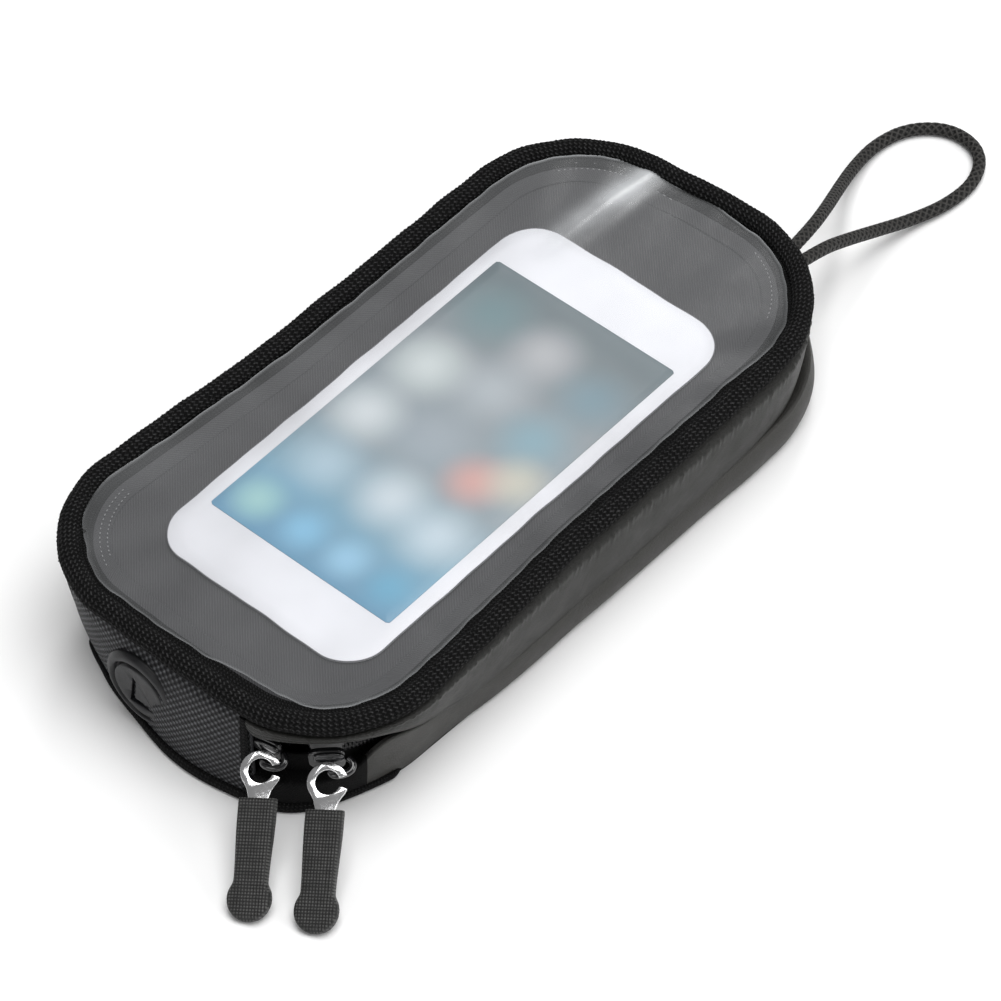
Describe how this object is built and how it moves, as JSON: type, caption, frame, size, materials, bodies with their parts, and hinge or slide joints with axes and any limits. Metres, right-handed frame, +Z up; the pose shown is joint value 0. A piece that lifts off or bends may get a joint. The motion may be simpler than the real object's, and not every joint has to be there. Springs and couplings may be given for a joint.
{
  "type": "motorcycle tank bag",
  "caption": "Low magnetic tank bag with a clear window lid holding a phone-sized card, a zip round three sides, a cable port and a cord loop.",
  "frame": {"origin": "middle of the base, on the surface that the bag rests on", "axes": "+Z up, +Y from the cable-port end to the cord-loop end, +X to the side nearer the zipper sliders"},
  "size_m": [0.1218, 0.3096, 0.0366],
  "materials": {
    "ballistic_nylon": "coarse square weave, matt",
    "coated_cloth": "fine-grained polyurethane, satin",
    "coated_cloth_light": "fine-grained polyurethane, satin",
    "knit": "coarse black knit",
    "window": "clear flexible vinyl, glossy",
    "lining": "fine grey twill",
    "foam": "closed-cell foam",
    "board": "stiffening board",
    "magnet": "plated magnet",
    "rubber": "moulded rubber, matt",
    "grip_rubber": "moulded rubber with fine raised ribs",
    "zipper_tape": "woven tape",
    "zipper_coil": "black coil, satin gloss",
    "slider_black": "black gloss lacquer",
    "link_metal": "bright plated metal",
    "hook_loop": "hook-and-loop tape",
    "card_white": "white card, satin gloss",
    "card_print": null,
    "cord": "braided cord"
  },
  "bodies": {
    "tub": {"base_skin": "ballistic_nylon", "bottom_binding": "knit", "base_foam": "foam", "base_magnets": "magnet", "base_board": "board", "floor_lining": "lining", "lower_wall": "coated_cloth_light", "side_lining": "lining", "end_panel": "ballistic_nylon", "end_panel_foam": "foam", "end_panel_lining": "lining", "seam_binding_left": "knit", "seam_binding_right": "knit", "cable_port": "rubber", "port_washer": "rubber", "lower_zipper_tape": "zipper_tape", "lower_zipper_chain": "zipper_coil"},
    "lid": {"window_film": "window", "top_piping": "knit", "piping_core": "foam", "upper_wall": "coated_cloth", "upper_zipper_tape": "zipper_tape", "upper_zipper_chain": "zipper_coil", "loop_anchor": "zipper_tape", "lid_lining": "lining", "pocket_hook_strip": "hook_loop", "cord_loop": "cord"},
    "pocket_panel": {"pocket_flap": "lining", "pocket_loop_strip": "hook_loop"},
    "card": {"insert_card": "card_white", "card_print": "card_print"},
    "tongue": {"port_tongue": "rubber"},
    "slider_left": {"slider_1": "slider_black"},
    "slider_right": {"slider_2": "slider_black"},
    "pull_left": {"pull_link_1": "link_metal", "pull_grip_1": "grip_rubber"},
    "pull_right": {"pull_link_2": "link_metal", "pull_grip_2": "grip_rubber"}
  },
  "joints": [
    {"name": "lid_hinge", "type": "hinge", "parent": "tub", "child": "lid", "pos_m": [0, -0.101, 0.03], "axis": [1, 0, 0], "range_deg": [0, 95]},
    {"name": "pocket_flap_hinge", "type": "hinge", "parent": "lid", "child": "pocket_panel", "pos_m": [0, 0.0915, 0.032], "axis": [1, 0, 0], "range_deg": [0, 7]},
    {"name": "card_slide", "type": "slide", "parent": "lid", "child": "card", "axis": [0, 1, 0], "range_m": [-0.01, 0.015]},
    {"name": "port_tongue_bend", "type": "hinge", "parent": "tub", "child": "tongue", "pos_m": [-0.007, -0.1012, 0.0169], "axis": [0.7071, 0, -0.7071], "range_deg": [0, 70], "stiffness_Nm_per_rad": 0.00005},
    {"name": "slider_left_travel", "type": "hinge", "parent": "tub", "child": "slider_left", "pos_m": [0.0216, -0.0672, 0.02], "axis": [0, 0, 1], "range_deg": [0, 2]},
    {"name": "slider_right_travel", "type": "hinge", "parent": "tub", "child": "slider_right", "pos_m": [0.0216, -0.0672, 0.02], "axis": [0, 0, 1], "range_deg": [0, 8]},
    {"name": "pull_left_swing", "type": "hinge", "parent": "slider_left", "child": "pull_left", "pos_m": [0.02915, -0.09866, 0.02], "axis": [-0.8147, -0.5798, 0], "range_deg": [-40, 60]},
    {"name": "pull_right_swing", "type": "hinge", "parent": "slider_right", "child": "pull_right", "pos_m": [0.04346, -0.09105, 0.02], "axis": [-0.8147, -0.5798, 0], "range_deg": [-40, 60]}
  ]
}
